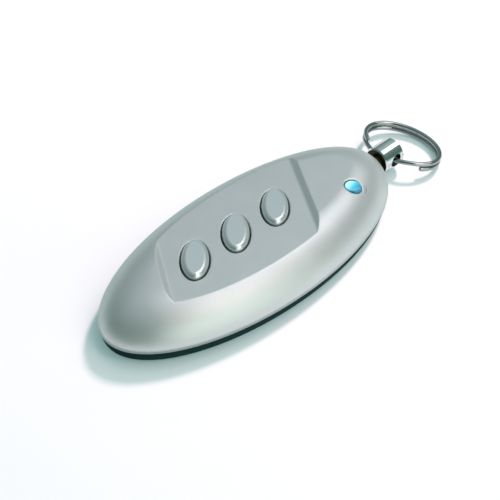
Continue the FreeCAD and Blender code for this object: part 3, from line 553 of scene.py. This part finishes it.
# Studio
# A sweep of white paper between three soft boxes, with a small lamp behind for the shadow, in
# a dim room whose ceiling is pale.
paper = Finish("white_paper", Roughness=0.9, Specular_IOR_Level=0.0)
seen = 0.0
for kind in ("Is Camera Ray", "Is Glossy Ray", "Is Transmission Ray"):
    seen = paper.node("ShaderNodeMath", {"operation": "MAXIMUM"},
                      {0: paper.node("ShaderNodeLightPath", out=kind), 1: seen})
away = paper.node("ShaderNodeVectorMath", {"operation": "LENGTH"}, {0: paper.place()}, out="Value")
# The paper's glow, seen only by camera, glossy and transmission rays, is painted light. It is a dim teal near
# the part, which gives the shadows there their teal tint, and grows to pale white farther out.
white = paper.blend(paper.held(away - 0.35, 0.8), (0.115, 0.21, 0.21), (0.8, 0.83, 0.83))
paper.feed(Base_Color=paper.blend(paper.speckle(40.0), (0.66, 0.66, 0.66), (0.68, 0.68, 0.68)),
           Emission_Color=paper.blend(seen, (0.0, 0.0, 0.0), white), Emission_Strength=1.0)
floor_mesh = bpy.data.meshes.new("floor")
floor_mesh.from_pydata([(-3, -3, 0), (3, -3, 0), (3, 3, 0), (-3, 3, 0)], [], [(0, 1, 2, 3)])
floor = bpy.data.objects.new("floor", floor_mesh)
bpy.context.scene.collection.objects.link(floor)
dress(floor, paper)


def lamp(name, place, width, height, radiance, colour):
    """A rectangular lamp aimed at the part. Its power follows from its area and its radiance."""
    light = bpy.data.lights.new(name, "AREA")
    light.shape, light.size, light.size_y = "RECTANGLE", width, height
    light.energy, light.color = radiance * math.pi * width * height, colour
    holder = bpy.data.objects.new(name, light)
    bpy.context.scene.collection.objects.link(holder)
    back = np.array(place) / np.linalg.norm(place)
    side = np.cross((0, 0, 1), back)
    side /= np.linalg.norm(side)
    rows = np.stack([side, np.cross(back, side), back, place], -1)
    holder.matrix_world = mathutils.Matrix(rows.tolist() + [[0, 0, 0, 1]])
    holder.visible_camera = False
    return holder


lamp("key_box", (0.33, -0.04, 0.57), 0.3, 0.52, 1.95, (1.0, 0.91, 0.94))
lamp("flank_box", (0.12, -0.34, 0.55), 0.22, 0.28, 3.6, (1.0, 0.8, 0.81))
lamp("side_box", (0.0, -0.62, 0.30), 0.7, 0.5, 1.4, (0.96, 1.0, 0.91))
shadow_lamp = lamp("shadow_lamp", (0.56, 0.14, 0.56), 0.11, 0.11, 176.0, (1.0, 0.72, 0.8))
shadow_lamp.visible_glossy = False

room = bpy.data.worlds.new("room")
bpy.context.scene.world = room
room.use_nodes = True


class Room(Finish):
    """The world's nodes, built up in the same way as a material's."""

    def __init__(self, world):
        self.tree = world.node_tree
        self.shader = self.tree.nodes["Background"]

    def heading(self):
        """The direction that a ray leaves in."""
        return self.node("ShaderNodeTexCoord", out="Generated")

    def glow(self, towards, width):
        """A soft patch: e to the power of the cosine from its middle, less 1, over its width."""
        cosine = self.node("ShaderNodeVectorMath", {"operation": "DOT_PRODUCT"},
                           {0: self.heading(), 1: towards}, out="Value")
        return self.node("ShaderNodeMath", {"operation": "EXPONENT"}, {0: (cosine - 1) * (1 / width)})


walls = Room(room)
ceiling = walls.blend(walls.glow((0.3, 0.3, 0.905), 0.23), (0.10, 0.18, 0.15), (0.57, 0.69, 0.73))
low = walls.held(0.19 - walls.part(walls.heading(), "Z"), 12.0)
walls.feed(Color=walls.blend(low, ceiling, (0.43, 0.57, 0.53)), Strength=1.0)
bpy.context.scene.view_settings.view_transform = "Standard"


# Camera
# It looks down on the near flank from the nose's side, at the photograph's angle.
TARGET, DISTANCE = np.array([-3.115, -2.97, 6.914]), 285.71
SIDEWAYS, DOWNWARD, ROLL = math.radians(45.008), math.radians(43.5), math.radians(0.518)
BACK = np.array([-math.sin(SIDEWAYS) * math.cos(DOWNWARD), -math.cos(SIDEWAYS) * math.cos(DOWNWARD),
                 math.sin(DOWNWARD)])
right = np.cross((0, 0, 1), BACK)
right /= np.linalg.norm(right)
up = np.cross(BACK, right)
right, up = right * math.cos(ROLL) + up * math.sin(ROLL), up * math.cos(ROLL) - right * math.sin(ROLL)
eye = (TARGET + BACK * DISTANCE) * 0.001
optics = bpy.data.cameras.new("camera")
optics.lens, optics.sensor_width = 97.555, 36.0
optics.clip_start, optics.clip_end = 0.01, 20.0
camera = bpy.data.objects.new("camera", optics)
bpy.context.scene.collection.objects.link(camera)
rows = np.stack([right, up, BACK, eye], -1)
camera.matrix_world = mathutils.Matrix(rows.tolist() + [[0, 0, 0, 1]])
bpy.context.scene.camera = camera

bpy.context.view_layer.update()
